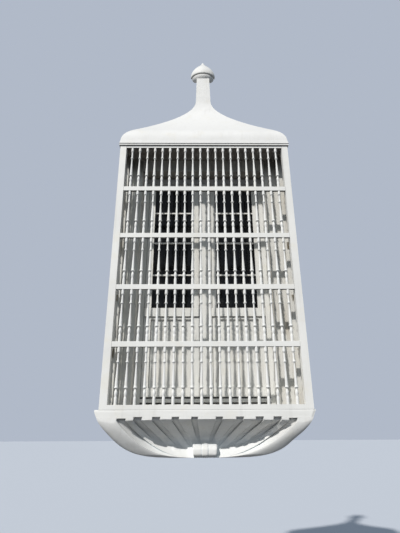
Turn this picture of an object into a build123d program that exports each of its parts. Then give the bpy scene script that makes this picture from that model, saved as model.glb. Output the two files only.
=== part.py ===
from build123d import *
import math
import os

os.makedirs("parts", exist_ok=True)

# A projecting window grille of turned wooden balusters, hung on a wall over a two-leaf window.
# Millimetres. The wall's face is the plane Y = 0, the grille stands out towards -Y,
# and the origin is the middle of the sill board's wall face.

# Grille frame
frame_width = 1810
projection = 320
tier_count = 5
tier_pitch = 537
rail_height = 50
rail_depth = 28
rail_setback = 1
stile_width = 66
stile_depth = 60
bottom_rail_height = 39

# Turned balusters
baluster_pitch = 81.3
side_baluster_pitch = 70
block_width = 23
column_width = 17
ring_width = 28
taper_top_width = 13
collar_width = 33
neck_width = 15
bulb_width = 27
baluster_sides = 6

# Sill board and wall boards
sill_thickness = 66
sill_overhang = 28
sill_tip_radius = 6
wall_board_thickness = 25
rear_stile_depth = 100
opening_width = 1380

# Corbel under the sill
corbel_height = 314
corbel_roundness = 0.21
corbel_lean = 28
corbel_foot_projection = 160
rim_sweep = 0.8
bowl_depth = 165
bowl_skew = 1.05
bowl_rise = 7
upstand_height = 22
groove_count = 5
first_groove_angle = 7.8
groove_angle_step = 11.8
groove_width = 64
groove_depth = 28
groove_floor = 0.7
groove_fade = 0.32
rib_bulge = 6
swell_loss = 0.9
band_bulge = 14
band_edge_drop = 45
corbel_wall_taper = 0.94

# Tie wrapped over the corbel's lip
tie_band_widths = (76, 55, 74)
tie_offset = -15
tie_radius = 52
tie_middle_rise = 5
tie_setback = 10
tie_facets = 20

# Hood
eaves_overhang = 13
eaves_front_overhang = 18
riser_inset = 12
riser_rise = 46
corner_inset = 17
corner_rise = 144
shoulder_inset = 143
shoulder_rise = 216
sweep_inset = 460
sweep_rise = 387
neck_foot_rise = 836
neck_sweep = 203
neck_foot_width = 178
neck_top_width = 154
neck_projection = 74
neck_height = 370
eaves_moulding_height = 20
eaves_moulding_nose = 12

# Finial on the neck
finial_width = 306
finial_flattening = 0.71
finial_sides = 12
finial_cup_height = 62
finial_cup_foot_width = 199
finial_cup_top_width = 286
finial_cup_fullness = 0.4
finial_cup_steps = 2
finial_cap_height = 280
finial_cap_fullness = 2.5
finial_cap_steps = 7
finial_tip_width = 6

# Window behind the grille
recess_depth = 100
lintel_height = 147
lining_thickness = 28
jamb_width = 68
jamb_depth = 70
window_head_height = 95
window_sill_height = 75
window_sill_rebate = 48
drip_groove_height = 16
drip_groove_depth = 45
drip_groove_rise = 25
leaf_thickness = 42
leaf_bottom_gap = 16
leaf_setback = 12
leaf_gap = 3
hanging_stile_width = 73
meeting_stile_width = 124
cover_strip_width = 125
cover_strip_offset = 10
cover_strip_thickness = 14
lock_moulding_height = 88
lock_moulding_nose = 16
glazing_bar_width = 15
leaf_top_rail = 45
pane_floor_rise = 870
pane_rows = 4
pane_pitch = 372
pane_thickness = 5
panel_thickness = 24
panel_bottom_rail = 86
panel_top_rail = 28

# Levels
sill_top = sill_thickness / 2
sill_bottom = -sill_thickness / 2
rail_tops = [sill_top + bottom_rail_height + tier_pitch * k for k in range(tier_count + 1)]
tier_floors = rail_tops[:-1]
tier_height = tier_pitch - rail_height
frame_top = rail_tops[-1]
corbel_foot = sill_bottom - corbel_height

# Depths
front_face = -projection
stile_back = front_face + stile_depth
stile_centre = front_face + stile_depth / 2
rail_centre = front_face + rail_setback + rail_depth / 2
side_rail_centre = frame_width / 2 - rail_setback - rail_depth / 2
wall_board_face = -wall_board_thickness
rear_stile_face = -rear_stile_depth
clear_half_width = frame_width / 2 - stile_width
side_centre = frame_width / 2 - stile_width / 2
side_clear_depth = rear_stile_face - stile_back
side_middle = (rear_stile_face + stile_back) / 2


def bar(name, x, y, z, size_x, size_y, size_z):
    """A square-cut timber, centred on x and y with its foot at z."""
    with BuildPart(Location((x, y, z))) as timber:
        Box(size_x, size_y, size_z, align=(Align.CENTER, Align.CENTER, Align.MIN))
    save(timber, name)


def save(piece, name):
    piece.part.label = name
    export_step(piece.part, f"parts/{name}.step")


def flat_facets(rings):
    """A closed solid of flat facets between like rings of points, from the foot up."""
    facets = [Face(Wire.make_polygon(rings[0])), Face(Wire.make_polygon(rings[-1]))]
    for low, high in zip(rings, rings[1:]):
        for k in range(len(low)):
            facets.append(Face(Wire.make_polygon([low[k - 1], low[k], high[k], high[k - 1]])))
    return Solid(Shell(facets))


def make_baluster():
    """One turned baluster, standing on z = 0, as a faceted lathe form."""
    profile = [
        (1.000, block_width),
        (0.810, bulb_width),
        (0.735, neck_width),
        (0.700, collar_width),
        (0.290, taper_top_width),
        (0.265, ring_width),
        (0.240, column_width),
        (0.000, block_width),
    ]
    rings = []
    for drop, width in profile:
        radius = width / 2 / math.cos(math.pi / baluster_sides)
        turns = [2 * math.pi * k / baluster_sides for k in range(baluster_sides)]
        z = tier_height * (1 - drop)
        rings.append([(radius * math.cos(t), radius * math.sin(t), z) for t in turns])
    return flat_facets(rings)


# Corbel: a scallop of ribs that fan out from the tie, hollowed under the sill
tip_half_width = frame_width / 2 + sill_overhang
corbel_mouth_top = 1 - upstand_height / corbel_height


def fan(share, z):
    """Where a line of the fan stands: its share is 0 in the middle and 1 along the edge."""
    rise = (z - corbel_foot) / (sill_top - corbel_foot)
    return tip_half_width * share * rise ** (1 - (1 - corbel_roundness) * share)


def corbel_rim(level):
    return corbel_foot_projection + (projection - corbel_foot_projection) * level ** rim_sweep


def corbel_front(share, level):
    """How far the shell stands out from the wall, at a share of the fan and of the height."""
    hollow = bowl_depth * math.sin(math.pi * min(level / corbel_mouth_top, 1) ** bowl_skew)
    flattening = min(share / band_start, 1) ** bowl_rise
    return corbel_rim(level) - hollow * (1 - flattening)


def corbel_half_outline(level):
    """Points of one level's outline from the middle line to the wall, as share and stand-out."""
    swell = fan(1, corbel_foot + corbel_height * level) / tip_half_width * (1 - swell_loss * level ** 4)
    depth = groove_depth * min(level / groove_fade, 1)
    points = []
    rib_start = 0
    for centre in groove_centres:
        crown = 0 if rib_start == 0 else (rib_start + centre - groove_half) / 2
        points.append((crown, corbel_front(crown, level) + rib_bulge * swell))
        for share, sink in groove_section(centre, depth):
            points.append((share, corbel_front(share, level) - sink))
        rib_start = centre + groove_half
    rim = corbel_rim(level)
    points.append(((band_start + 1) / 2, rim + band_bulge * swell))
    points.append((1, rim - band_edge_drop))
    return points


def groove_section(centre, depth):
    return [
        (centre - groove_half, 0),
        (centre - groove_half * groove_floor, depth),
        (centre + groove_half * groove_floor, depth),
        (centre + groove_half, 0),
    ]


def corbel_outline(level):
    """The whole outline of one level, leaning to one side towards the foot as the real shell does."""
    z = corbel_foot + corbel_height * level
    lean = -corbel_lean * (1 - level)
    half = [(fan(share, z), -out) for share, out in corbel_half_outline(level)]
    half.append((corbel_wall_taper * fan(1, z), 0))
    mirrored = [(-x, y) for x, y in reversed(half[1:])]
    return [(x + lean, y) for x, y in mirrored + half]


groove_angles = [first_groove_angle + groove_angle_step * k for k in range(groove_count)]
groove_centres = [math.sin(math.radians(angle)) for angle in groove_angles]
groove_half = groove_width / 2 / tip_half_width
band_start = groove_centres[-1] + groove_half
corbel_levels = [1, corbel_mouth_top, 0.82, 0.68, 0.52, 0.38, 0.25, 0.14, 0.06, 0.01]

with BuildPart() as corbel:
    for level in corbel_levels:
        with BuildSketch(Plane.XY.offset(corbel_foot + corbel_height * level)):
            with BuildLine():
                Polyline(*corbel_outline(level), close=True)
            make_face()
    loft(ruled=True)
save(corbel, "shell_corbel")

# Tie: three drums side by side that roll over the lip
tie_y = -corbel_foot_projection + tie_setback
tie_z = corbel_foot + tie_radius + tie_middle_rise
with BuildPart() as tie:
    start = tie_offset - sum(tie_band_widths) / 2
    for index, width in enumerate(tie_band_widths):
        radius = tie_radius + (tie_middle_rise if index == 1 else 0)
        with BuildSketch(Plane.YZ.offset(start)):
            with Locations((tie_y, tie_z)):
                RegularPolygon(radius, tie_facets)
        extrude(amount=width)
        start += width
    add(corbel.part, mode=Mode.SUBTRACT)
save(tie, "shell_tie")

# Sill board: its ends carry on the corbel's outline
with BuildPart() as sill:
    with BuildSketch(Plane.XZ) as end_to_end:
        with BuildLine():
            low = (fan(1, sill_bottom), sill_bottom)
            high = (tip_half_width, sill_top)
            Polyline(low, high, (-high[0], high[1]), (-low[0], low[1]), close=True)
        make_face()
        fillet(end_to_end.vertices().group_by(Axis.Y)[-1], radius=sill_tip_radius)
    extrude(amount=projection)
save(sill, "sill_board")

# Front frame
bar("bottom_rail", 0, stile_centre, sill_top, 2 * clear_half_width, stile_depth, bottom_rail_height)
for number, top in enumerate(rail_tops[1:], start=1):
    bar(f"front_rail_{number}", 0, rail_centre, top - rail_height, 2 * clear_half_width, rail_depth,
        rail_height)
for side, sign in (("left", -1), ("right", 1)):
    bar(f"front_stile_{side}", sign * side_centre, stile_centre, sill_top, stile_width, stile_depth,
        frame_top - sill_top)

# Turned balusters, a row in each tier
baluster_form = make_baluster()
front_count = int(2 * clear_half_width / baluster_pitch)
side_count = int(side_clear_depth / side_baluster_pitch)

for number, floor in enumerate(tier_floors, start=1):
    with BuildPart() as row:
        with Locations((0, rail_centre, floor)):
            with GridLocations(baluster_pitch, 1, front_count, 1):
                add(baluster_form)
    save(row, f"front_balusters_{number}")

for side, sign in (("left", -1), ("right", 1)):
    with BuildPart() as row:
        for floor in tier_floors:
            with Locations((sign * side_rail_centre, side_middle, floor)):
                with GridLocations(1, side_baluster_pitch, 1, side_count):
                    add(baluster_form)
    save(row, f"side_balusters_{side}")

    with BuildPart() as rails:
        with Locations((sign * side_rail_centre, side_middle, sill_top)):
            Box(rail_depth, side_clear_depth, bottom_rail_height,
                align=(Align.CENTER, Align.CENTER, Align.MIN))
        for top in rail_tops[1:]:
            with Locations((sign * side_rail_centre, side_middle, top)):
                Box(rail_depth, side_clear_depth, rail_height,
                    align=(Align.CENTER, Align.CENTER, Align.MAX))
    save(rails, f"side_rails_{side}")

# Rear stiles against the wall, and boards from them to the opening
wall_board_width = clear_half_width - opening_width / 2
for side, sign in (("left", -1), ("right", 1)):
    bar(f"rear_stile_{side}", sign * side_centre, rear_stile_face / 2, sill_top, stile_width,
        rear_stile_depth, frame_top - sill_top)
    bar(f"wall_board_{side}", sign * (opening_width + wall_board_width) / 2, wall_board_face / 2, sill_top,
        wall_board_width, wall_board_thickness, frame_top - sill_top)

# Hood: an ogee roof on three sides, cut from the front outline and the side outline
hood_top = frame_top + neck_foot_rise
eaves_half_width = frame_width / 2 + eaves_overhang
eaves_projection = projection + eaves_front_overhang


def ogee_outline(eaves, neck):
    """Half outline of the hood on the current line: riser, rounded shoulder, hollow sweep, foot."""
    share = (eaves - neck) / (eaves_half_width - neck_foot_width / 2)
    foot = (eaves, frame_top)
    riser_top = (eaves - riser_inset * share, frame_top + riser_rise)
    corner = (eaves - corner_inset * share, frame_top + corner_rise)
    shoulder = (eaves - shoulder_inset * share, frame_top + shoulder_rise)
    sweep = (eaves - sweep_inset * share, frame_top + sweep_rise)
    neck_edge = (neck, hood_top)
    Line(foot, riser_top)
    Bezier(riser_top, corner, shoulder)
    Bezier(shoulder, sweep, (neck, hood_top - neck_sweep), neck_edge)
    Polyline(neck_edge, (0, hood_top), (0, frame_top), foot)


with BuildPart() as hood:
    with BuildSketch(Plane.XZ) as front_view:
        with BuildLine():
            ogee_outline(eaves_half_width, neck_foot_width / 2)
        make_face()
        mirror(about=Plane.YZ)
    extrude(amount=eaves_projection)
    with BuildSketch(Plane.YZ) as side_view:
        with BuildLine():
            ogee_outline(eaves_projection, neck_projection)
        make_face()
        mirror(about=Plane.YZ, mode=Mode.REPLACE)
    extrude(amount=eaves_half_width, both=True, mode=Mode.INTERSECT)
save(hood, "hood")

# Eaves moulding: a fillet on three sides under the hood
with BuildPart() as moulding:
    moulding_z = frame_top - eaves_moulding_height
    with BuildSketch(Plane.XY.offset(moulding_z)):
        with Locations((0, front_face / 2 - eaves_moulding_nose / 2)):
            Rectangle(frame_width + 2 * eaves_moulding_nose, projection + eaves_moulding_nose)
        with Locations((0, front_face / 2)):
            Rectangle(frame_width, projection, mode=Mode.SUBTRACT)
    extrude(amount=eaves_moulding_height)
save(moulding, "eaves_moulding")

# Neck
neck_top = hood_top + neck_height
with BuildPart() as neck:
    with BuildSketch(Plane.XZ):
        with BuildLine():
            foot_half = neck_foot_width / 2
            top_half = neck_top_width / 2
            Polyline((-foot_half, hood_top), (foot_half, hood_top), (top_half, neck_top),
                     (-top_half, neck_top), close=True)
        make_face()
    extrude(amount=neck_projection)
save(neck, "hood_neck")


# Finial: a turned cup and an onion cap, halved and flattened against the wall
def half_turned(name, foot, height, widths):
    """Half a turned form of flat facets, its widths at even steps of the height."""
    rings = []
    for step, width in enumerate(widths):
        z = foot + height * step / (len(widths) - 1)
        turns = [math.pi * k / finial_sides for k in range(finial_sides + 1)]
        across = width / 2
        ring = [(across * math.cos(t), -across * math.sin(t) * finial_flattening, z) for t in turns]
        rings.append(ring)
    with BuildPart() as form:
        add(flat_facets(rings))
    save(form, name)


cup_top = neck_top + finial_cup_height
cup_spread = finial_cup_top_width - finial_cup_foot_width
cup_rises = [k / finial_cup_steps for k in range(finial_cup_steps + 1)]
cup_widths = [finial_cup_foot_width + cup_spread * rise ** finial_cup_fullness for rise in cup_rises]
half_turned("finial_cup", neck_top, finial_cup_height, cup_widths)

cap_spread = finial_width - finial_tip_width
cap_rises = [k / finial_cap_steps for k in range(finial_cap_steps + 1)]
cap_widths = [finial_width - cap_spread * rise ** finial_cap_fullness for rise in cap_rises]
half_turned("finial_cap", cup_top, finial_cap_height, cap_widths)

# Recess lining, with a lintel across its top
recess_floor = rail_tops[0]
recess_ceiling = frame_top - lintel_height
floor_thickness = recess_floor - sill_top
lining_outer_width = opening_width + 2 * lining_thickness
for side, sign in (("left", -1), ("right", 1)):
    bar(f"lining_{side}", sign * (opening_width + lining_thickness) / 2, recess_depth / 2, recess_floor,
        lining_thickness, recess_depth, frame_top - recess_floor)
bar("lining_floor", 0, recess_depth / 2, sill_top, lining_outer_width, recess_depth, floor_thickness)
bar("lining_ceiling", 0, (wall_board_face + recess_depth) / 2, recess_ceiling, opening_width,
    recess_depth + wall_board_thickness, lintel_height)

# Window frame at the back of the recess
jamb_y = recess_depth + jamb_depth / 2
window_width = opening_width - 2 * jamb_width
jamb_full_width = jamb_width + lining_thickness
window_sill_top = recess_floor + window_sill_height
leaf_floor = window_sill_top + leaf_bottom_gap
leaf_ceiling = recess_ceiling - window_head_height
leaf_front = recess_depth + leaf_setback
leaf_back = leaf_front + leaf_thickness
for side, sign in (("left", -1), ("right", 1)):
    bar(f"window_jamb_{side}", sign * (window_width + jamb_full_width) / 2, jamb_y, window_sill_top,
        jamb_full_width, jamb_depth, leaf_ceiling - window_sill_top)
bar("window_head", 0, jamb_y, leaf_ceiling, lining_outer_width, jamb_depth, frame_top - leaf_ceiling)

# Window sill: a drip groove in front and a stop behind the leaves
with BuildPart() as window_sill:
    with BuildSketch(Plane.YZ):
        with BuildLine():
            frame_back = recess_depth + jamb_depth
            groove_foot = recess_floor + drip_groove_rise
            groove_top = groove_foot + drip_groove_height
            groove_end = recess_depth + drip_groove_depth
            stop_top = window_sill_top + window_sill_rebate
            Polyline((recess_depth, sill_top), (frame_back, sill_top), (frame_back, stop_top),
                     (leaf_back, stop_top), (leaf_back, window_sill_top), (recess_depth, window_sill_top),
                     (recess_depth, groove_top), (groove_end, groove_top), (groove_end, groove_foot),
                     (recess_depth, groove_foot), close=True)
        make_face()
    extrude(amount=window_width / 2, both=True)
    for sign in (-1, 1):
        with Locations((sign * (window_width + jamb_full_width) / 2, jamb_y, sill_top)):
            Box(jamb_full_width, jamb_depth, window_sill_top - sill_top,
                align=(Align.CENTER, Align.CENTER, Align.MIN))
save(window_sill, "window_sill")

# Window leaves: panes over a boarded panel
leaf_width = window_width / 2
leaf_middle = leaf_front + leaf_thickness / 2
pane_floor = leaf_floor + pane_floor_rise
pane_top = leaf_ceiling - leaf_top_rail
pane_floors = [pane_floor + pane_pitch * k for k in range(pane_rows)]
pane_ceilings = [floor - glazing_bar_width for floor in pane_floors[1:]] + [pane_top]
moulding_floor = pane_floor - lock_moulding_height
panel_ceiling = moulding_floor - panel_top_rail
panel_floor = leaf_floor + panel_bottom_rail
for side, sign in (("left", -1), ("right", 1)):
    light_width = leaf_width - hanging_stile_width - meeting_stile_width
    light_centre = sign * (meeting_stile_width + light_width / 2)
    with BuildPart() as leaf:
        with Locations((sign * leaf_width / 2, leaf_middle, leaf_floor)):
            Box(leaf_width - 2 * leaf_gap, leaf_thickness, leaf_ceiling - leaf_floor,
                align=(Align.CENTER, Align.CENTER, Align.MIN))
        for floor, ceiling in [(panel_floor, panel_ceiling), *zip(pane_floors, pane_ceilings)]:
            with Locations((light_centre, leaf_middle, floor)):
                Box(light_width, leaf_thickness, ceiling - floor,
                    align=(Align.CENTER, Align.CENTER, Align.MIN), mode=Mode.SUBTRACT)
    save(leaf, f"leaf_{side}")

    with BuildPart() as panes:
        for floor, ceiling in zip(pane_floors, pane_ceilings):
            with Locations((light_centre, leaf_middle, floor)):
                Box(light_width, pane_thickness, ceiling - floor,
                    align=(Align.CENTER, Align.CENTER, Align.MIN))
    save(panes, f"panes_{side}")

    bar(f"leaf_panel_{side}", light_centre, leaf_back - panel_thickness / 2, panel_floor, light_width,
        panel_thickness, panel_ceiling - panel_floor)
    strip_edge = cover_strip_width / 2 + sign * cover_strip_offset
    moulding_length = leaf_width - leaf_gap - strip_edge
    moulding_centre = sign * (strip_edge + moulding_length / 2)
    bar(f"lock_moulding_{side}", moulding_centre, leaf_front - lock_moulding_nose / 2, moulding_floor,
        moulding_length, lock_moulding_nose, lock_moulding_height)

bar("cover_strip", cover_strip_offset, leaf_front - cover_strip_thickness / 2, leaf_floor,
    cover_strip_width, cover_strip_thickness, leaf_ceiling - leaf_floor)
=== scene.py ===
import math
import random

import bpy
from mathutils import Matrix, Vector, noise


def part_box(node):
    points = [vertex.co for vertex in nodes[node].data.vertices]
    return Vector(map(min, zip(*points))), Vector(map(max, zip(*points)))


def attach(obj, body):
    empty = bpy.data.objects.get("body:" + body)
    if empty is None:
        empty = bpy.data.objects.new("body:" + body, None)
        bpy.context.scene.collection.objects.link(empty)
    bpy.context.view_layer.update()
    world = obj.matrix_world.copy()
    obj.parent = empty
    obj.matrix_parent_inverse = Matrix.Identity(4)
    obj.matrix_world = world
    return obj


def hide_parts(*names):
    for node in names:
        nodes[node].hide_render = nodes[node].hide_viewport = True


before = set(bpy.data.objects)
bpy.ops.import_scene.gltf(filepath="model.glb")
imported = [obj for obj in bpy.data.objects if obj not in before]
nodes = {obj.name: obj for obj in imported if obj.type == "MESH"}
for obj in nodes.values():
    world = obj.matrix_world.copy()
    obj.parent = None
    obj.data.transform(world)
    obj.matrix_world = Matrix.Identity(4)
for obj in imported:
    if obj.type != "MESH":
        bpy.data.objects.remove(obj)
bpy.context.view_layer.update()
random.seed(7)

# Driving sizes, in metres
PROJECTION = 0.320
SILL_TOP = 0.033
TIER_COUNT = 5
BALUSTERS_PER_TIER = 20
BALUSTER_PITCH = 0.0813
SIDE_BALUSTER_PITCH = 0.070

# Least angles of the edges that are shaded as sharp, and of those that soften rounds
SHARP_EDGE = math.radians(42)
ROUNDED_EDGE = math.radians(35)


# Curves
def smoothstep(low, high, value):
    """0 under the low value and 1 over the high one, with a soft rise in between."""
    t = min(max((value - low) / (high - low), 0), 1)
    return t * t * (3 - 2 * t)


def bell(value, middle, reach):
    """1 at the middle value, and less and less away from it."""
    return math.exp(-((value - middle) / reach) ** 2)


def uneven(x, y, z):
    """A soft wave between -1 and 1, the same on each run."""
    return noise.noise(Vector((x, y, z)))


# Mesh helpers
def mesh_object(name, vertices, faces):
    """An object at the origin, with its place in its mesh, smooth but for the sharp edges."""
    mesh = bpy.data.meshes.new(name)
    mesh.from_pydata(vertices, [], faces)
    mesh.update()
    mesh.validate()
    mesh.polygons.foreach_set("use_smooth", [True] * len(mesh.polygons))
    mesh.set_sharp_from_angle(angle=SHARP_EDGE)
    obj = bpy.data.objects.new(name, mesh)
    bpy.context.scene.collection.objects.link(obj)
    return obj


def tube_faces(ring_count, ring_size):
    """Quads between rings of equal size, listed one after the other, and a face over each end."""
    faces = []
    for first in range(0, (ring_count - 1) * ring_size, ring_size):
        for i in range(ring_size):
            j = (i + 1) % ring_size
            faces.append((first + i, first + j, first + ring_size + j, first + ring_size + i))
    last = (ring_count - 1) * ring_size
    faces.append(tuple(range(ring_size))[::-1])
    faces.append(tuple(range(last, last + ring_size)))
    return faces


def stacked(name, rings):
    """A closed form through rings of points, all with the same number of them."""
    vertices = [point for ring in rings for point in ring]
    return mesh_object(name, vertices, tube_faces(len(rings), len(rings[0])))


def soften(obj, width):
    """Rounds the edges a little, as many coats of paint do."""
    bevel = obj.modifiers.new("soft_edges", "BEVEL")
    bevel.width = width
    bevel.segments = 2
    bevel.limit_method = "ANGLE"
    bevel.angle_limit = ROUNDED_EDGE
    bevel.harden_normals = True


def dress(obj, material):
    """Gives an object one material all over."""
    obj.data.materials.clear()
    obj.data.materials.append(material)


def stands_for(obj, slot, *names):
    """Puts a piece in the place of CAD nodes."""
    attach(obj, "root")
    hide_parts(*names)


# Shader helpers
def rgba(colour, tint=(1, 1, 1)):
    """A colour for a socket, multiplied by a tint."""
    return tuple(c * t for c, t in zip(colour, tint)) + (1.0,)


class NodeTree:
    """Adds nodes to a tree and joins them."""

    # Places of the sockets for colours on a mix node
    FIRST_COLOUR = 6
    SECOND_COLOUR = 7
    MIXED_COLOUR = 2

    def __init__(self, tree):
        self.tree = tree
        self.tree.nodes.clear()

    def add(self, kind):
        return self.tree.nodes.new("ShaderNode" + kind)

    def feed(self, socket, value):
        """Sets a socket to a fixed value, or links it to the output of another node."""
        if isinstance(value, (int, float, tuple)):
            socket.default_value = value
        else:
            self.tree.links.new(value, socket)

    def math(self, kind, *values):
        node = self.add("Math")
        node.operation = kind
        for socket, value in zip(node.inputs, values):
            self.feed(socket, value)
        return node.outputs[0]

    def multiply(self, product, *factors):
        for factor in factors:
            product = self.math("MULTIPLY", product, factor)
        return product

    def invert(self, value):
        return self.math("SUBTRACT", 1.0, value)

    def ramp(self, value, low, high, to_low=0.0, to_high=1.0, curve="SMOOTHSTEP"):
        """Goes from one amount to another while the value goes from low to high."""
        node = self.add("MapRange")
        node.interpolation_type = curve
        node.inputs["From Min"].default_value = low
        node.inputs["From Max"].default_value = high
        node.inputs["To Min"].default_value = to_low
        node.inputs["To Max"].default_value = to_high
        self.feed(node.inputs["Value"], value)
        return node.outputs["Result"]

    def mix(self, amount, first, second):
        node = self.add("Mix")
        node.data_type = "RGBA"
        self.feed(node.inputs["Factor"], amount)
        self.feed(node.inputs[self.FIRST_COLOUR], first)
        self.feed(node.inputs[self.SECOND_COLOUR], second)
        return node.outputs[self.MIXED_COLOUR]

    def axis(self, vector, name):
        node = self.add("SeparateXYZ")
        self.feed(node.inputs[0], vector)
        return node.outputs[name]

    def seen(self):
        """1 where a ray comes from the eye, also by a reflection or through glass, and 0 for other light."""
        path = self.add("LightPath")
        mirrored = self.math("MAXIMUM", path.outputs["Is Camera Ray"], path.outputs["Is Glossy Ray"])
        return self.math("MAXIMUM", mirrored, path.outputs["Is Transmission Ray"])


class Surface(NodeTree):
    """One procedural material. Its patterns and lengths are in the object's own space, in metres."""

    CREVICE_SAMPLES = 6
    EDGE_SAMPLES = 4
    WORN_EDGE_RADIUS = 0.004

    def __init__(self, name):
        self.material = bpy.data.materials.new(name)
        self.material.use_nodes = True
        super().__init__(self.material.node_tree)
        output = self.add("OutputMaterial")
        self.shader = self.add("BsdfPrincipled")
        self.feed(output.inputs["Surface"], self.shader.outputs[0])
        self.place = self.add("TexCoord").outputs["Object"]

    def give(self, name, value):
        """Gives one of the shader's own sockets its value."""
        self.feed(self.shader.inputs[name], value)

    def noise(self, scale, stretch=(1, 1, 1), detail=4, rough=0.55, seed=0.0):
        mapping = self.add("Mapping")
        mapping.inputs["Scale"].default_value = stretch
        mapping.inputs["Location"].default_value = (seed, seed * 1.7, seed * 0.6)
        self.feed(mapping.inputs["Vector"], self.place)
        node = self.add("TexNoise")
        node.inputs["Scale"].default_value = scale
        node.inputs["Detail"].default_value = detail
        node.inputs["Roughness"].default_value = rough
        self.feed(node.inputs["Vector"], mapping.outputs[0])
        return node.outputs["Fac"]

    def patches(self, low, high, to_low=0.0, to_high=1.0, **pattern):
        """A noise, faded from one amount to another between two of its values."""
        return self.ramp(self.noise(**pattern), low, high, to_low, to_high)

    def hairlines(self, width, **pattern):
        """1 along thin wandering lines, where a noise crosses its middle."""
        middle = 0.5
        away = self.math("ABSOLUTE", self.math("SUBTRACT", self.noise(**pattern), middle))
        return self.ramp(away, 0.0, width, 1.0, 0.0)

    def along(self, axis, low, high):
        """0 before the low place on an axis and 1 past the high one."""
        return self.ramp(self.axis(self.place, axis), low, high)

    def crevices(self, distance, low, high):
        """1 in corners and hollows, as far as a distance around each point shows them, and 0 in the open."""
        node = self.add("AmbientOcclusion")
        node.samples = self.CREVICE_SAMPLES
        node.inputs["Distance"].default_value = distance
        return self.ramp(node.outputs["AO"], low, high, 1.0, 0.0)

    def normal(self):
        return self.add("NewGeometry").outputs["Normal"]

    def undersides(self):
        """1 on faces that look straight down, 0 on the others."""
        return self.ramp(self.axis(self.normal(), "Z"), -0.95, -0.75, 1.0, 0.0)

    def ledges(self):
        """1 on faces that look up, 0 on upright ones."""
        return self.ramp(self.axis(self.normal(), "Z"), 0.2, 0.65)

    def worn_edges(self):
        """1 on outer edges, where the normal turns within a small radius."""
        rounded = self.add("Bevel")
        rounded.samples = self.EDGE_SAMPLES
        rounded.inputs["Radius"].default_value = self.WORN_EDGE_RADIUS
        agreement = self.add("VectorMath")
        agreement.operation = "DOT_PRODUCT"
        self.feed(agreement.inputs[0], rounded.outputs[0])
        self.feed(agreement.inputs[1], self.normal())
        return self.ramp(agreement.outputs["Value"], 0.80, 0.97, 1.0, 0.0)

    def bump(self, height, strength, distance, under=None):
        node = self.add("Bump")
        node.inputs["Strength"].default_value = strength
        node.inputs["Distance"].default_value = distance
        self.feed(node.inputs["Height"], height)
        if under is not None:
            self.feed(node.inputs["Normal"], under)
        return node.outputs[0]


# What time leaves on white paint, and the painted shade and skylight laid over it
RAIN_GREY = (0.50, 0.48, 0.44)
DUST_GREY = (0.40, 0.37, 0.33)
# Dirt and painted shade in corners, and near-black painted shade in narrow gaps
CORNER_DIRT_AND_SHADE = (0.12, 0.105, 0.09)
GAP_PAINTED_SHADE = (0.012, 0.011, 0.010)
CRACK_BROWN = (0.09, 0.07, 0.05)
DAMP_MARK = (0.46, 0.41, 0.33)
# Painted shade for the top of the recess and of the window head
TOP_PAINTED_SHADE = (0.125, 0.116, 0.102)
STAIN_BROWN = (0.10, 0.075, 0.035)
BARE_WOOD = (0.33, 0.28, 0.22)
# Painted cool skylight in the low part of the shell's bowl
PAINTED_SKYLIGHT = (0.88, 0.935, 0.955)
# Grime and painted shade on undersides, near black under the rails
UNDERSIDE_GRIME_AND_SHADE = (0.16, 0.14, 0.12)
HOOD_UNDERSIDE_GRIME_AND_SHADE = (0.10, 0.085, 0.07)
RAIL_UNDERSIDE_GRIME_AND_SHADE = (0.03, 0.027, 0.024)

# Tints that multiply a paint's own colour
DARKER_COAT = (0.93, 0.93, 0.93)
WARMER_COAT = (0.95, 0.92, 0.85)
# Dust with painted shade on faces that look up
TOP_DUST_AND_SHADE = (0.77, 0.77, 0.77)
# Painted shade high in the shell's bowl
PAINTED_BOWL_SHADE = (0.42, 0.42, 0.42)

# Heights between which the painted light in the shell's bowl turns from cool skylight to shade
BOWL_SHADE = (-0.27, -0.09)

# Front face of the rear stiles: where it starts on both sides of the middle, and how near its plane is
REAR_STILE_ACROSS = (0.848, 0.862)
REAR_STILE_FACE = (-0.099, -0.090)
STAIN_FADE = 0.03
STAIN_EDGE = 0.01

# Stretches of a pattern: along the wood's grain, or down with the rain
EVEN = (1, 1, 1)
ALONG_X = (0.03, 1, 1)
ALONG_Z = (1, 1, 0.03)
TURNED_GRAIN = (1, 1, 0.6)
RAIN_RUN = (1, 1, 0.035)
DAMP_RUN = (1, 1, 0.12)
STAIN_RUN = (1, 1, 0.3)


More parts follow.
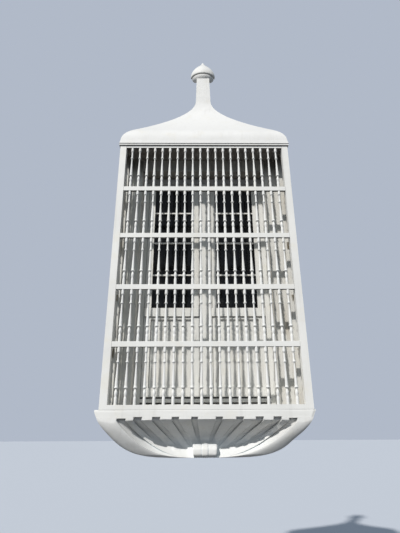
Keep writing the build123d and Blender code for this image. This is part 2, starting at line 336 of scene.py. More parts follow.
class OldPaint(Surface):
    """Thick white paint, brushed many times over wood. Each method lays one more thing over the last."""

    def __init__(self, name, base):
        super().__init__(name)
        self.base = base
        self.colour = rgba(base)
        self.specks = self.noise(scale=160, detail=3, seed=1)

    def cover(self, amount, colour, tint=(1, 1, 1)):
        self.colour = self.mix(amount, self.colour, rgba(colour, tint))

    def brush(self):
        """Many coats, some a little darker and some warmer."""
        self.cover(self.patches(0.35, 0.7, scale=2.3, detail=5, seed=3), self.base, DARKER_COAT)
        self.cover(self.patches(0.5, 0.75, 0, 0.5, scale=9, detail=4, seed=8), self.base, WARMER_COAT)

    def rain(self, amount):
        """Marks that run down."""
        marks = self.patches(0.52, 0.72, 0, amount, scale=26, stretch=RAIN_RUN, detail=5, seed=5)
        self.cover(marks, RAIN_GREY)

    def dirt_and_gap_shade(self, amount):
        """Specks of dust, dirt and painted shade in the corners, and near-black painted shade in the narrow
        gaps.
        """
        self.cover(self.ramp(self.specks, 0.60, 0.78, 0, 0.35 * amount), DUST_GREY)
        uneven = self.patches(0.25, 0.65, 0.25, 1.0, scale=30, seed=4)
        # Painted shade and dirt: occlusion darkens the corners
        self.cover(self.multiply(self.crevices(0.022, 0.25, 0.8), uneven, amount), CORNER_DIRT_AND_SHADE)
        # Painted shade: narrow gaps go near black
        self.cover(self.multiply(self.crevices(0.045, 0.08, 0.30), 0.92), GAP_PAINTED_SHADE)

    def crack(self, amount, grain):
        """Cracks along the grain, and marks of damp."""
        lines = self.hairlines(0.008, scale=16, stretch=grain, detail=3, rough=0.5, seed=21)
        here_and_there = self.patches(0.42, 0.6, scale=7, detail=3, seed=22)
        self.cover(self.multiply(lines, here_and_there, amount), CRACK_BROWN)
        damp = self.patches(0.52, 0.75, 0, amount, scale=9, stretch=DAMP_RUN, detail=5, seed=24)
        self.cover(damp, DAMP_MARK)

    def paint_top_shade(self, low, high, grain):
        """Painted shade that grows darker from one height up to another."""
        uneven = self.patches(0.2, 0.7, 0.8, 1, scale=11, stretch=grain, detail=4, seed=27)
        self.cover(self.multiply(self.along("Z", low, high), uneven), TOP_PAINTED_SHADE)

    def shade_bowl(self):
        """Painted light in the shell's bowl: a cool skylight low down, and painted shade high up."""
        inside = self.crevices(0.30, 0.30, 0.80)
        high_up = self.along("Z", *BOWL_SHADE)
        # Painted cool skylight low in the bowl, then painted shade high in it
        self.cover(self.multiply(inside, inside, self.invert(high_up)), PAINTED_SKYLIGHT)
        self.cover(self.multiply(inside, high_up), self.base, PAINTED_BOWL_SHADE)

    def stain(self, low, high, seed):
        """A brown stain between two heights on the front face of a rear stile, fading towards its foot."""
        above = self.along("Z", low, low + STAIN_FADE)
        below = self.invert(self.along("Z", high - STAIN_EDGE, high))
        blotches = self.patches(0.40, 0.52, scale=24, stretch=STAIN_RUN, detail=4, seed=seed)
        aside = self.ramp(self.math("ABSOLUTE", self.axis(self.place, "X")), *REAR_STILE_ACROSS)
        in_front = self.invert(self.along("Y", *REAR_STILE_FACE))
        self.cover(self.multiply(above, below, blotches, aside, in_front, 0.9), STAIN_BROWN)

    def dust_and_dim_tops(self, amount):
        """Dust and painted shade on what looks up: the tops are toned down so that the sun makes them little
        brighter than the fronts.
        """
        self.cover(self.multiply(self.ledges(), amount), self.base, TOP_DUST_AND_SHADE)

    def grime_and_shade_undersides(self, amount, underside_colour):
        """Grime and painted shade on what looks down."""
        uneven = self.patches(0.2, 0.6, 0.85, 1.0, scale=12, detail=5, seed=15)
        self.cover(self.multiply(self.undersides(), uneven, amount), underside_colour)

    def chip(self, amount):
        """Bare wood on worn edges and in small spots. Gives back where."""
        uneven = self.patches(0.52, 0.62, scale=55, detail=5, seed=9)
        worn = self.multiply(self.worn_edges(), uneven)
        spots = self.patches(0.705, 0.735, scale=38, detail=6, rough=0.6, seed=12)
        bare = self.multiply(self.math("MAXIMUM", worn, spots), amount)
        self.cover(bare, BARE_WOOD)
        return bare

    def relief(self, grain, grain_depth, lumps, bare):
        """Brush marks and grain, old lumps, and the step down to bare wood."""
        marks = self.noise(scale=70, stretch=grain, detail=6, rough=0.6, seed=2)
        shape = self.bump(marks, 0.5, grain_depth)
        shape = self.bump(self.noise(scale=14, detail=3, seed=6), lumps, 0.004, shape)
        return self.bump(self.invert(bare), 0.5, 0.0008, shape)


# under is how far grime and painted shade darken the undersides
def old_paint(name, base, grain=EVEN, grain_depth=0.0006, dirt_and_shade=0.5, chips=0.4, streaks=0.3, lumps=0.3,
              under=0.45, underside_colour=UNDERSIDE_GRIME_AND_SHADE, cracks=0.0, top_shade=None, bowl=False, stains=(), top_dust_and_shade=0.9):
    """A material of old paint. Amounts go from 0 to 1, and the painted top shade and stains give heights."""
    paint = OldPaint(name, base)
    paint.brush()
    paint.rain(streaks)
    paint.dirt_and_gap_shade(dirt_and_shade)
    if cracks:
        paint.crack(cracks, grain)
    # Painted shade towards the top
    if top_shade:
        paint.paint_top_shade(*top_shade, grain)
    # Painted skylight and shade in the shell's bowl
    if bowl:
        paint.shade_bowl()
    for seed, (low, high) in enumerate(stains, start=40):
        paint.stain(low, high, seed)
    # Dust and painted shade on the tops
    paint.dust_and_dim_tops(top_dust_and_shade)
    # Grime and painted shade on the undersides
    paint.grime_and_shade_undersides(under, underside_colour)
    bare = paint.chip(chips)
    paint.give("Base Color", paint.colour)
    paint.give("Roughness", paint.ramp(paint.specks, 0.3, 0.7, 0.52, 0.72))
    paint.give("Specular IOR Level", 0.35)
    paint.give("Normal", paint.relief(grain, grain_depth, lumps, bare))
    return paint.material


# Window glass
# Painted shade: the panes are opaque and near black for the dark room behind them
PAINTED_DARK_ROOM = (0.004, 0.0045, 0.005)
GLASS_FILM = (0.10, 0.10, 0.095)
GLASS_RUN = (1, 1, 0.06)


def dusty_glass(name):
    """An opaque near-black sheet whose colour is painted shade for the unlit room behind the glass, under a
    thin film of dust and streaks.
    """
    glass = Surface(name)
    dust = glass.patches(0.4, 0.75, 0.0, 0.35, scale=5, detail=6, rough=0.65, seed=2)
    streaks = glass.patches(0.5, 0.8, 0.0, 0.4, scale=30, stretch=GLASS_RUN, detail=4, seed=4)
    film = glass.multiply(glass.math("MAXIMUM", dust, streaks), 0.25)
    glass.give("Base Color", glass.mix(film, rgba(PAINTED_DARK_ROOM), rgba(GLASS_FILM)))
    glass.give("Roughness", glass.ramp(dust, 0.0, 0.35, 0.06, 0.3))
    glass.give("IOR", 1.45)
    glass.give("Specular IOR Level", 0.25)
    return glass.material


# Paints: the grille is the whitest, and the window and its recess are the dirtiest
GRILLE_WHITE = (0.87, 0.865, 0.835)
TURNED_WHITE = (0.89, 0.885, 0.86)
SHELL_WHITE = (0.855, 0.85, 0.825)
HOOD_WHITE = (0.85, 0.845, 0.825)
FINIAL_WHITE = (0.84, 0.835, 0.81)
RECESS_WHITE = (0.66, 0.65, 0.61)
WINDOW_WHITE = (0.74, 0.735, 0.70)
# Painted shade: the recess ceiling and the window head are dark grey in place of their white paint
LINTEL_PAINTED_SHADE = (0.34, 0.33, 0.305)
HEAD_PAINTED_SHADE = (0.34, 0.335, 0.33)
STAIN_HEIGHTS = [(1.585, 1.69), (1.03, 1.115), (0.48, 0.585)]
# Painted shade: the recess darkens up under the hood, and the top of the window head goes dark under the
# ceiling
RECESS_TOP_SHADE = (2.48, 2.70)
HEAD_TOP_SHADE = (2.572, 2.592)
RECESS = dict(grain=ALONG_Z, grain_depth=0.001, dirt_and_shade=0.7, streaks=0.4, under=0.9, cracks=0.8,
              top_shade=RECESS_TOP_SHADE)
WINDOW = dict(grain_depth=0.001, dirt_and_shade=0.9)

PAINT = {
    "upright": old_paint("grille_paint_upright", GRILLE_WHITE, ALONG_Z, streaks=0.2),
    "level": old_paint("grille_paint_level", GRILLE_WHITE, ALONG_X, streaks=0.1, under=0.95,
                       underside_colour=RAIL_UNDERSIDE_GRIME_AND_SHADE),
    "turned": old_paint("grille_paint_turned", TURNED_WHITE, TURNED_GRAIN, dirt_and_shade=0.45, streaks=0.1),
    "sill": old_paint("sill_paint", GRILLE_WHITE, ALONG_X, grain_depth=0.0016, chips=0.5, streaks=0.15),
    "shell": old_paint("shell_paint", SHELL_WHITE, dirt_and_shade=0.4, chips=0.3, streaks=0.15, lumps=0.5, under=0.0,
                       bowl=True, top_dust_and_shade=0.55),
    "hood": old_paint("hood_paint", HOOD_WHITE, dirt_and_shade=0.4, chips=0.1, streaks=0.12, lumps=0.5, under=0.95,
                      underside_colour=HOOD_UNDERSIDE_GRIME_AND_SHADE),
    "finial": old_paint("hood_paint_finial", FINIAL_WHITE, dirt_and_shade=0.5, chips=0.1, streaks=0.1, under=0.1),
    "recess": old_paint("recess_paint", RECESS_WHITE, **RECESS),
    "recess_stained": old_paint("recess_paint_stained", RECESS_WHITE, stains=STAIN_HEIGHTS, **RECESS),
    "lintel": old_paint("recess_paint_lintel_shaded", LINTEL_PAINTED_SHADE, ALONG_X, grain_depth=0.001, dirt_and_shade=0.6, chips=0.0,
                        under=0.6),
    "window_upright": old_paint("window_paint_upright", WINDOW_WHITE, ALONG_Z, cracks=0.3, **WINDOW),
    "window_level": old_paint("window_paint_level", WINDOW_WHITE, ALONG_X, under=0.9, **WINDOW),
    "window_head": old_paint("window_paint_head_shaded", HEAD_PAINTED_SHADE, ALONG_X, under=0.9, top_shade=HEAD_TOP_SHADE, **WINDOW),
}
GLASS = dusty_glass("window_glass")

# Turned balusters: share of the height from the top, and width in millimetres
BALUSTER_PROFILE = [
    (0.000, 24.5), (0.040, 25.5), (0.080, 27.5), (0.094, 26.5), (0.101, 20), (0.106, 14.5),
    (0.117, 14), (0.140, 15.5), (0.200, 16.5), (0.243, 17), (0.250, 20), (0.257, 26),
    (0.265, 28), (0.273, 27), (0.280, 21), (0.288, 14), (0.310, 12.5), (0.370, 14),
    (0.450, 17.5), (0.540, 21.5), (0.620, 25), (0.670, 26.5), (0.688, 25.5), (0.694, 28),
    (0.702, 33), (0.710, 34.5), (0.718, 33), (0.725, 24), (0.733, 15), (0.742, 14),
    (0.757, 18), (0.778, 24), (0.800, 27), (0.820, 26), (0.842, 22), (0.860, 18.5),
    (0.868, 18.5), (0.876, 22), (0.886, 24.5), (0.920, 25), (1.000, 25),
]
MILLIMETRES_A_METRE = 1000
LATHE_SIDES = 18
TENON_LENGTH = 0.010
MOST_LEAN = 0.0015
MOST_GIRTH = 1.08


def baluster(x, y, foot, height, turn, lean, girth):
    """Vertices and faces of one turned baluster, with a little of the turner's unevenness."""
    vertices = []
    tenon = TENON_LENGTH / height
    top_width = BALUSTER_PROFILE[0][1]
    foot_width = BALUSTER_PROFILE[-1][1]
    profile = [(-tenon, top_width)] + BALUSTER_PROFILE + [(1 + tenon, foot_width)]
    for drop, width in profile:
        z = foot + height * (1 - drop)
        radius = width / 2 / MILLIMETRES_A_METRE * girth
        shift = lean * math.sin(math.pi * min(max(drop, 0), 1))
        for i in range(LATHE_SIDES):
            angle = turn + 2 * math.pi * i / LATHE_SIDES
            vertices.append((x + shift + radius * math.cos(angle), y + radius * math.sin(angle), z))
    faces = [face[::-1] for face in tube_faces(len(profile), LATHE_SIDES)]
    return vertices, faces


def baluster_row(name, places):
    """All the balusters of a node as one mesh, each at its x, y, foot and height."""
    vertices = []
    faces = []
    for x, y, foot, height in places:
        turn = random.uniform(0, 1)
        lean = random.uniform(-MOST_LEAN, MOST_LEAN)
        girth = random.uniform(1.0, MOST_GIRTH)
        new_vertices, new_faces = baluster(x, y, foot, height, turn, lean, girth)
        start = len(vertices)
        vertices += new_vertices
        faces += [tuple(i + start for i in face) for face in new_faces]
    row = mesh_object(name + "_turned", vertices, faces)
    dress(row, PAINT["turned"])
    stands_for(row, "grille_paint", name)


def make_front_balusters(name):
    """One tier of the front. Gives back its foot and its height."""
    low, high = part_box(name)
    foot = low.z
    height = high.z - low.z
    middle_y = (low.y + high.y) / 2
    steps = [i - (BALUSTERS_PER_TIER - 1) / 2 for i in range(BALUSTERS_PER_TIER)]
    baluster_row(name, [(step * BALUSTER_PITCH, middle_y, foot, height) for step in steps])
    return foot, height


def make_side_balusters(name, tiers):
    """Two balusters for each tier, one each side of the node's middle."""
    low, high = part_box(name)
    middle_x = (low.x + high.x) / 2
    middle_y = (low.y + high.y) / 2
    places = [(middle_x, middle_y + step * SIDE_BALUSTER_PITCH, foot, height)
              for foot, height in tiers for step in (-0.5, 0.5)]
    baluster_row(name, places)


tiers = [make_front_balusters(f"front_balusters_{number}") for number in range(1, TIER_COUNT + 1)]
for side in ("left", "right"):
    make_side_balusters(f"side_balusters_{side}", tiers)

# Rails
RAIL_STATIONS = 60
RAIL_WAVE = 0.0006
RAIL_EDGE = 0.003


def make_rail(name):
    """A planed rail, a little uneven along its face."""
    low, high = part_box(name)
    section = [(low.y, low.z), (high.y, low.z), (high.y, high.z), (low.y, high.z)]
    rings = []
    for k in range(RAIL_STATIONS + 1):
        x = low.x + (high.x - low.x) * k / RAIL_STATIONS
        ring = []
        for corner, (y, z) in enumerate(section):
            wave = RAIL_WAVE * uneven(x * 5, corner * 3.1, high.z)
            ring.append((x, max(y + wave, low.y), z + wave))
        rings.append(ring)
    rail = stacked(name + "_planed", rings)
    dress(rail, PAINT["level"])
    soften(rail, RAIL_EDGE)
    stands_for(rail, "grille_paint", name)


for number in range(1, TIER_COUNT + 1):
    make_rail(f"front_rail_{number}")

# Shell: a scallop whose grooves fan out from the tie. Levels go from 0 at its foot to 1 at its top
CORBEL_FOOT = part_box("shell_corbel")[0].z
CORBEL_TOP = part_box("shell_corbel")[1].z
CORBEL_HEIGHT = CORBEL_TOP - CORBEL_FOOT
CORBEL_HALF_WIDTH = 0.933
CORBEL_FOOT_PROJECTION = 0.160
CORBEL_ROUNDNESS = 0.21
CORBEL_LEAN = 0.028
CORBEL_WALL_TAPER = 0.94
BOWL_DEPTH = 0.178
BOWL_SKEW = 1.05
BOWL_RISE = 7.0
UPSTAND_SHARE = 0.07
MOUTH = CORBEL_TOP - UPSTAND_SHARE * CORBEL_HEIGHT
MOUTH_ARCH = 0.04
RIM_CLIMB = 1.35
FOOT_SWELL = 0.032
LIP_BULGE = 0.038
LIP_LEVEL = 0.24
LIP_RISE = 0.6
RIB_CROWN = 0.006
BAND_BULGE = 0.042
BAND_EDGE_DROP = 0.014

# Grooves, at angles in degrees from the middle of the fan
FIRST_GROOVE_ANGLE = 7.8
GROOVE_ANGLE_STEP = 11.8
GROOVE_COUNT = 5
GROOVE_WIDTH = 0.066
GROOVE_DEPTH = 0.028
groove_angles = [FIRST_GROOVE_ANGLE + GROOVE_ANGLE_STEP * k for k in range(GROOVE_COUNT)]
groove_centres = [math.sin(math.radians(angle)) for angle in groove_angles]
groove_half = GROOVE_WIDTH / 2 / CORBEL_HALF_WIDTH
band_start = groove_centres[-1] + groove_half

# How far the hand-made outline strays from the even curve, along x
LEFT_SWELL = 0.021
LEFT_TIP_STRAY = 0.008
RIGHT_SHIFT = 0.027
RIGHT_FLATTENING = 0.020
RIGHT_TIP_STRAY = 0.010


def fan_rise(z):
    """0 at the shell's foot and 1 at the top of the sill board."""
    return max(z - CORBEL_FOOT, 0) / (SILL_TOP - CORBEL_FOOT)


def fan(share, z):
    """Where a line of the fan stands: its share is 0 in the middle and 1 along the edge.

    Above the bowl's mouth the lines inside the band run straight up.
    """
    if z > MOUTH and share < 1:
        z = MOUTH + (z - MOUTH) * smoothstep(band_start, 1, share)
    return CORBEL_HALF_WIDTH * share * fan_rise(z) ** (1 - (1 - CORBEL_ROUNDNESS) * share)


def stray(share, z):
    """How far the hand-made outline stands off the even curve, along x: the two sides differ."""
    rise = fan_rise(z)
    near_the_sill = smoothstep(-0.075, 0.015, z)
    tip = abs(share) ** 8 * near_the_sill
    if share < 0:
        return -LEFT_SWELL * share ** 2 * bell(rise, 0.74, 0.22) - LEFT_TIP_STRAY * tip
    inside_band = smoothstep(0, 0.5, share) * (1 - smoothstep(0.88, 1, share))
    shifted = RIGHT_SHIFT * inside_band * min(rise * 1.4, 1)
    flattened = RIGHT_FLATTENING * share ** 10 * bell(rise, 0.37, 0.17)
    return shifted - flattened - RIGHT_TIP_STRAY * tip


def fan_x(share, z, inset=0.0):
    """Where a line of the carved fan stands along x. Shares are negative on the left."""
    return math.copysign(fan(abs(share), z) - inset * abs(share), share) + stray(share, z)


def groove_share(share):
    """1 in the bottom of a groove, 0 on the ribs, with steep sides."""
    distance = min(abs(share - centre) for centre in groove_centres) / groove_half
    return 1 - smoothstep(0.84, 1.04, distance)


def rib_crown(share):
    """1 in the middle of a rib, 0 at its edges."""
    low = -groove_centres[0] + groove_half
    for centre in groove_centres:
        high = centre - groove_half
        if low < share < high:
            t = (share - low) / (high - low)
            return 4 * t * (1 - t)
        low = centre + groove_half
    return 0


def mouth_level(share):
    """Where the bowl opens: the lower edge of the sill board arches up a little in the middle."""
    return 1 - UPSTAND_SHARE + MOUTH_ARCH * (1 - min(share / band_start, 1) ** 2)


def lip_level(share):
    """Up to where the lip is smooth, without grooves."""
    return LIP_LEVEL + LIP_RISE * min(share / band_start, 1) ** 6


def narrowing(level):
    """1 at the top and less towards the foot, where the grooves and ribs run together and flatten."""
    lowest = 0.001
    return max(level, lowest) ** 0.3


def rim(share, level):
    """How far out the shell stands before it is hollowed: most at the top, and less at the foot."""
    climb = 1 - (1 - min(level / (1 - UPSTAND_SHARE), 1)) ** RIM_CLIMB
    towards_edge = smoothstep(0.6, 0.95, share)
    above_foot = min(level / 0.06, 1)
    foot = CORBEL_FOOT_PROJECTION + FOOT_SWELL * towards_edge * above_foot
    return foot + (PROJECTION - foot) * climb


def bowl(share, level):
    """How deep the shell is hollowed: most in the middle, and not at all on the band along the edge."""
    mouth = min(level / mouth_level(share), 1)
    flattening = min(share / band_start, 1) ** BOWL_RISE
    return BOWL_DEPTH * math.sin(math.pi * mouth ** BOWL_SKEW) * (1 - flattening)


def groove(share, level):
    """How deep a groove is cut: the outermost runs down over the lip, the others end above it."""
    if share > groove_centres[-1] - groove_half * 1.1:
        shown = smoothstep(0.03, 0.16, level) * (1 - smoothstep(0.985, 0.995, level))
        strength = 1.15 - 0.15 * smoothstep(0.5, 0.85, level)
    else:
        lip = lip_level(share)
        shown = smoothstep(lip - 0.06, lip + 0.16, level)
        strength = 0.4 + 0.6 * smoothstep(0.40, 0.80, level)
    return GROOVE_DEPTH * narrowing(level) * shown * strength * groove_share(share)


def rib(share, level):
    """How far the ribs bulge between the grooves, above the lip and below the sill board."""
    lip = lip_level(share)
    shown = smoothstep(lip - 0.05, lip + 0.2, level) * (1 - smoothstep(0.75, 0.93, level))
    return RIB_CROWN * narrowing(level) * rib_crown(share) * shown


def band(share, level):
    """How far the band along the edge bulges, and drops at its outer edge."""
    if share <= band_start:
        return 0
    t = (share - band_start) / (1 - band_start)
    return (BAND_BULGE * t * (1 - t) ** 2 - BAND_EDGE_DROP * t ** 10) * math.sin(math.pi * min(level, 1))


def corbel_front(share, level):
    """How far the shell stands out from the wall, at a share of the fan and of the height."""
    lip = LIP_BULGE * bell(level, 0.3, 0.12) * (1 - smoothstep(0.1, 0.5, share))
    out = rim(share, level) - bowl(share, level) + lip
    return out - groove(share, level) + rib(share, level) + band(share, level)


# Lumps of old paint on the lip: place along and up, reach, height. They are wider than they are tall
LUMPS = [(-0.272, -0.270, 0.018, 0.013), (-0.245, -0.283, 0.012, 0.006), (0.305, -0.262, 0.021, 0.012),
         (0.348, -0.250, 0.013, 0.007), (0.452, -0.232, 0.019, 0.013), (0.480, -0.215, 0.011, 0.006)]
LUMP_SQUASH = 1.6
LUMP_END = 5
LUMP_GRAINS_A_METRE = 90


def lump(x, z):
    """How far the lumps stand out at a place on the lip."""
    total = 0
    for place_x, place_z, reach, rise in LUMPS:
        away = ((x - place_x) ** 2 + LUMP_SQUASH * (z - place_z) ** 2) / reach ** 2
        if away < LUMP_END:
            rough = 1 + 0.5 * uneven(x * LUMP_GRAINS_A_METRE, z * LUMP_GRAINS_A_METRE, 1)
            total += rise * math.exp(-away ** 1.5) * rough
    return total


def even_shares(steps):
    """Shares of the fan from its left edge to its right one."""
    return [-1 + 2 * k / steps for k in range(steps + 1)]


# Levels of the shell's rings: close together at its foot and under the sill board
FOOT_LEVELS = [0.004, 0.02, 0.05, 0.09]
TOP_LEVELS = [0.93, 0.95, 0.97, 0.985, 0.995, 1.0]
MIDDLE_STEPS = 46
MIDDLE_RISE = 0.83
CORBEL_STEPS = 480


def make_corbel():
    """The shell as it is carved, with the lumps on its lip."""
    middle_levels = [FOOT_LEVELS[-1] + MIDDLE_RISE * k / MIDDLE_STEPS for k in range(1, MIDDLE_STEPS + 1)]
    rings = []
    for level in FOOT_LEVELS + middle_levels + TOP_LEVELS:
        z = CORBEL_FOOT + CORBEL_HEIGHT * level
        lean = -CORBEL_LEAN * (1 - level)
        ring = []
        for share in even_shares(CORBEL_STEPS):
            x = fan_x(share, z) + lean
            ring.append((x, -min(corbel_front(abs(share), level) + lump(x, z), PROJECTION), z))
        at_wall = CORBEL_WALL_TAPER * fan(1, z)
        ring += [(at_wall + lean, 0, z), (-at_wall + lean, 0, z)]
        rings.append(ring)
    corbel = stacked("shell_corbel_carved", rings)
    dress(corbel, PAINT["shell"])
    stands_for(corbel, "shell_paint", "shell_corbel")


# Sill board: notched under its front edge where the grooves come up to it
SILL_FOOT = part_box("sill_board")[0].z
SILL_NOTCH_TOP = SILL_FOOT + 0.010
SILL_NOTCH_STEP = 0.0012
SILL_LEVELS = 12
SILL_STEPS = 300
SILL_TIP_RADIUS = 0.006
SILL_WAVE = 0.0008


def make_sill():
    """The sill board, whose ends carry on the shell's outline, with rounded corners."""
    heights = [SILL_FOOT, SILL_NOTCH_TOP - SILL_NOTCH_STEP, SILL_NOTCH_TOP]
    heights += [SILL_FOOT + (SILL_TOP - SILL_FOOT) * k / SILL_LEVELS for k in range(3, SILL_LEVELS + 1)]
    notched_to = groove_centres[-1] - groove_half * 1.2
    rings = []
    for z in heights:
        inset = SILL_TIP_RADIUS * smoothstep(0.85, 1.0, (z - SILL_FOOT) / (SILL_TOP - SILL_FOOT))
        ring = []
        for share in even_shares(SILL_STEPS):
            out = PROJECTION - inset * 0.3
            if z < SILL_NOTCH_TOP and abs(share) < notched_to:
                out -= GROOVE_DEPTH * groove_share(abs(share))
            out += SILL_WAVE * uneven(share * 4, z * 60, 5)
            out -= SILL_TIP_RADIUS * smoothstep(0.975, 1.0, abs(share))
            ring.append((fan_x(share, z, inset), -min(out, PROJECTION), z))
        ring += [(fan_x(side, z, inset), 0, z) for side in (1, -1)]
        rings.append(ring)
    sill = stacked("sill_board_shaped", rings)
    dress(sill, PAINT["sill"])
    stands_for(sill, "sill_paint", "sill_board")


# Tie: where its bands meet, from its left end, and how they are rounded
TIE_SEAMS = [0.076, 0.131]
TIE_SIDES = 28
BAND_STATIONS = [0, 0.02, 0.05, 0.1, 0.2, 0.35, 0.5, 0.65, 0.8, 0.9, 0.95, 0.98, 1]
MIDDLE_BAND = 1
LAST_BAND = 2
OUTER_BAND_SIZE = 0.955
SEAM_DIP = 0.0045
END_DIP = 0.004
BAND_CROWN = 0.001
TIE_TAPER = 0.08
TIE_WAVE = 0.0008
UPPER_BEND = 2.8
LOWER_BEND = 4.2


def band_dip(number, share):
    """How far a band's surface lies under its highest line, at a share of its width."""
    side = min(share, 1 - share)
    at_end = (number == 0 and share < 0.5) or (number == LAST_BAND and share > 0.5)
    if at_end:
        return END_DIP * (1 - smoothstep(0, 0.10, side))
    return SEAM_DIP * (1 - smoothstep(0, 0.07, side)) + BAND_CROWN * (1 - math.sin(math.pi * share))


def make_tie():
    """The knot at the shell's foot: three rounded bands side by side, the middle one a little prouder."""
    low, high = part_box("shell_tie")
    centre_x = (low.x + high.x) / 2
    centre_z = (low.z + high.z) / 2
    reach = (high.z - low.z) / 2
    depth = high.y - low.y
    seams = [low.x] + [low.x + seam for seam in TIE_SEAMS] + [high.x]
    rings = []
    for number, (start, end) in enumerate(zip(seams, seams[1:])):
        size = 1.0 if number == MIDDLE_BAND else OUTER_BAND_SIZE
        for share in BAND_STATIONS:
            x = start + (end - start) * share
            dip = band_dip(number, share)
            ring = []
            for k in range(TIE_SIDES):
                angle = math.pi * (k / (TIE_SIDES - 1) - 0.5)
                up = math.sin(angle)
                bend = UPPER_BEND if up > 0 else LOWER_BEND
                out = (depth * size - dip) * max(1 - abs(up) ** bend, 0) ** 0.4
                out += TIE_WAVE * uneven(x * 30, k * 0.4, 2)
                taper = 1 - TIE_TAPER * ((1 - up) / 2) ** 2
                ring.append((centre_x + (x - centre_x) * taper, high.y - max(out, 0),
                             centre_z + (reach * size - dip) * up))
            rings.append(ring)
    tie = stacked("shell_tie_bands", rings)
    dress(tie, PAINT["shell"])
    stands_for(tie, "shell_paint", "shell_tie")


make_corbel()
make_sill()
make_tie()

# Finial: share of the height and of the half width, from the bottom up
CUP_PROFILE = [(0.00, 0.660), (0.04, 0.685), (0.15, 0.745), (0.30, 0.805), (0.45, 0.845), (0.60, 0.872),
               (0.72, 0.885), (0.80, 0.888), (0.84, 0.880), (0.86, 0.830), (0.94, 0.820), (1.00, 0.820)]
CAP_PROFILE = [(0.000, 0.820), (0.002, 0.960), (0.015, 0.990), (0.040, 1.000), (0.090, 1.000),
               (0.150, 0.990), (0.210, 0.970), (0.270, 0.940), (0.330, 0.895), (0.390, 0.840),
               (0.450, 0.775), (0.510, 0.695), (0.570, 0.605), (0.630, 0.505), (0.690, 0.400),
               (0.740, 0.318), (0.790, 0.245), (0.840, 0.180), (0.890, 0.122), (0.940, 0.072),
               (0.980, 0.036), (1.000, 0.008)]
FINIAL_SIDES = 48


def make_finial(name, profile):
    """A turned piece, split down the middle and fixed flat against the wall."""
    low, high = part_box(name)
    cap_low, cap_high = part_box("finial_cap")
    half_x = (cap_high.x - cap_low.x) / 2
    depth = cap_high.y - cap_low.y
    angles = [math.pi * (1 + k / (FINIAL_SIDES - 1)) for k in range(FINIAL_SIDES)]
    rings = []
    for up, width in profile:
        z = low.z + (high.z - low.z) * up
        rings.append([(half_x * width * math.cos(a), depth * width * math.sin(a), z) for a in angles])
    finial = stacked(name + "_turned", rings)
    dress(finial, PAINT["finial"])
    stands_for(finial, "hood_paint", name)


make_finial("finial_cup", CUP_PROFILE)
make_finial("finial_cap", CAP_PROFILE)

# CAD pieces that keep their own shape, with their material and how far their edges are rounded
KEPT_PIECES = [
    (("front_stile_left", "front_stile_right"), PAINT["upright"], 0.004),
    (("bottom_rail", "side_rails_left", "side_rails_right"), PAINT["level"], 0.004),
    (("hood", "eaves_moulding", "hood_neck"), PAINT["hood"], None),
    (("rear_stile_left", "rear_stile_right"), PAINT["recess_stained"], 0.003),
    (("wall_board_left", "wall_board_right", "lining_left", "lining_right", "lining_floor"),
     PAINT["recess"], 0.003),
    (("lining_ceiling",), PAINT["lintel"], None),
    (("window_jamb_left", "window_jamb_right", "leaf_left", "leaf_right", "leaf_panel_left",
      "leaf_panel_right", "cover_strip"), PAINT["window_upright"], 0.002),
    (("window_sill", "lock_moulding_left", "lock_moulding_right"), PAINT["window_level"], 0.003),
    (("window_head",), PAINT["window_head"], 0.003),
    (("panes_left", "panes_right"), GLASS, None),
]
for names, material, edge in KEPT_PIECES:
    for name in names:
        dress(nodes[name], material)
        if edge is not None:
            soften(nodes[name], edge)

# Studio
FLOOR_HEIGHT = -1.75
FLOOR_HALF_WIDTH = 40
FLOOR_NEAR = -12
FLOOR_FAR = 60
FLOOR_SEEN = (0.52, 0.55, 0.60)
FLOOR_DIM = (0.10, 0.10, 0.10)
BACKDROP = (0.44, 0.49, 0.58)
GROUND_GLOW = (0.088, 0.084, 0.074)
SKY_GLOW = (0.265, 0.320, 0.385)
HORIZON = (-0.3, 0.2)


def studio_floor():
    """A plain floor, pale to the eye, that throws little light up at the object."""
    surface = Surface("studio_floor")
    surface.give("Base Color", surface.mix(surface.seen(), rgba(FLOOR_DIM), rgba(FLOOR_SEEN)))
    surface.give("Roughness", 0.9)
    corners = [(-FLOOR_HALF_WIDTH, FLOOR_NEAR, FLOOR_HEIGHT), (FLOOR_HALF_WIDTH, FLOOR_NEAR, FLOOR_HEIGHT),
               (FLOOR_HALF_WIDTH, FLOOR_FAR, FLOOR_HEIGHT), (-FLOOR_HALF_WIDTH, FLOOR_FAR, FLOOR_HEIGHT)]
    floor = mesh_object("studio_floor", corners, [(0, 1, 2, 3)])
    dress(floor, surface.material)


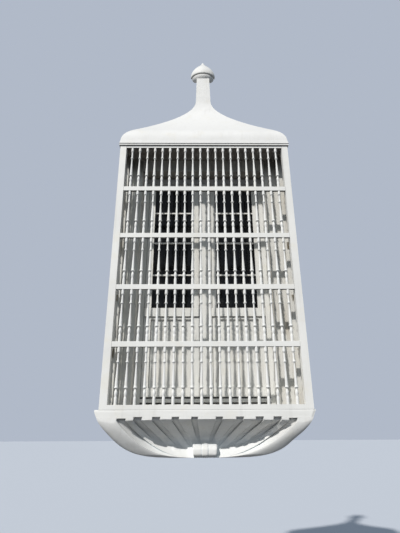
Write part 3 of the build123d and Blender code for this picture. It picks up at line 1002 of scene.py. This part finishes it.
def studio_world():
    """Soft light from a cool sky and a dim warm ground, and a plain backdrop for the eye."""
    world = bpy.data.worlds.new("studio")
    world.use_nodes = True
    tree = NodeTree(world.node_tree)
    upward = tree.axis(tree.add("TexCoord").outputs["Generated"], "Z")
    sky_share = tree.ramp(upward, *HORIZON, curve="LINEAR")
    ambient = tree.add("Background")
    tree.feed(ambient.inputs["Color"], tree.mix(sky_share, rgba(GROUND_GLOW), rgba(SKY_GLOW)))
    backdrop = tree.add("Background")
    tree.feed(backdrop.inputs["Color"], rgba(BACKDROP))
    choice = tree.add("MixShader")
    for socket, value in zip(choice.inputs, (tree.seen(), ambient.outputs[0], backdrop.outputs[0])):
        tree.feed(socket, value)
    tree.feed(tree.add("OutputWorld").inputs["Surface"], choice.outputs[0])
    bpy.context.scene.world = world


studio_floor()
studio_world()

# Sun: the way its light travels, read from the shadows
SUN_TRAVEL = Vector((0.577, 1.0, -1.09))
SUN_STRENGTH = 3.55
SUN_WIDTH = math.radians(1.5)
SUN_COLOUR = (1.0, 0.975, 0.94)
sun = bpy.data.lights.new("key", "SUN")
sun.energy = SUN_STRENGTH
sun.angle = SUN_WIDTH
sun.color = SUN_COLOUR
lamp = bpy.data.objects.new("key", sun)
lamp.rotation_euler = SUN_TRAVEL.to_track_quat("-Z", "Y").to_euler()
bpy.context.scene.collection.objects.link(lamp)

# Camera at the photograph's place, level and square to the wall but for these angles
CAMERA_PLACE = (-0.088, -3.915, -0.114)
LEVEL_PITCH = math.radians(90)
PITCH_UP = math.radians(21.79)
YAW_RIGHT = math.radians(0.60)
ROLL = math.radians(0.267)
FOCAL_PIXELS = 405
IMAGE_HEIGHT = 533
SENSOR_SIZE = 36
camera_data = bpy.data.cameras.new("camera")
camera_data.sensor_width = SENSOR_SIZE
camera_data.lens = FOCAL_PIXELS / IMAGE_HEIGHT * SENSOR_SIZE
camera = bpy.data.objects.new("camera", camera_data)
yaw = Matrix.Rotation(-YAW_RIGHT, 4, "Z")
pitch = Matrix.Rotation(LEVEL_PITCH + PITCH_UP, 4, "X")
roll = Matrix.Rotation(-ROLL, 4, "Z")
camera.matrix_world = Matrix.Translation(CAMERA_PLACE) @ yaw @ pitch @ roll
bpy.context.scene.collection.objects.link(camera)
bpy.context.scene.camera = camera
bpy.context.scene.view_settings.view_transform = "Standard"
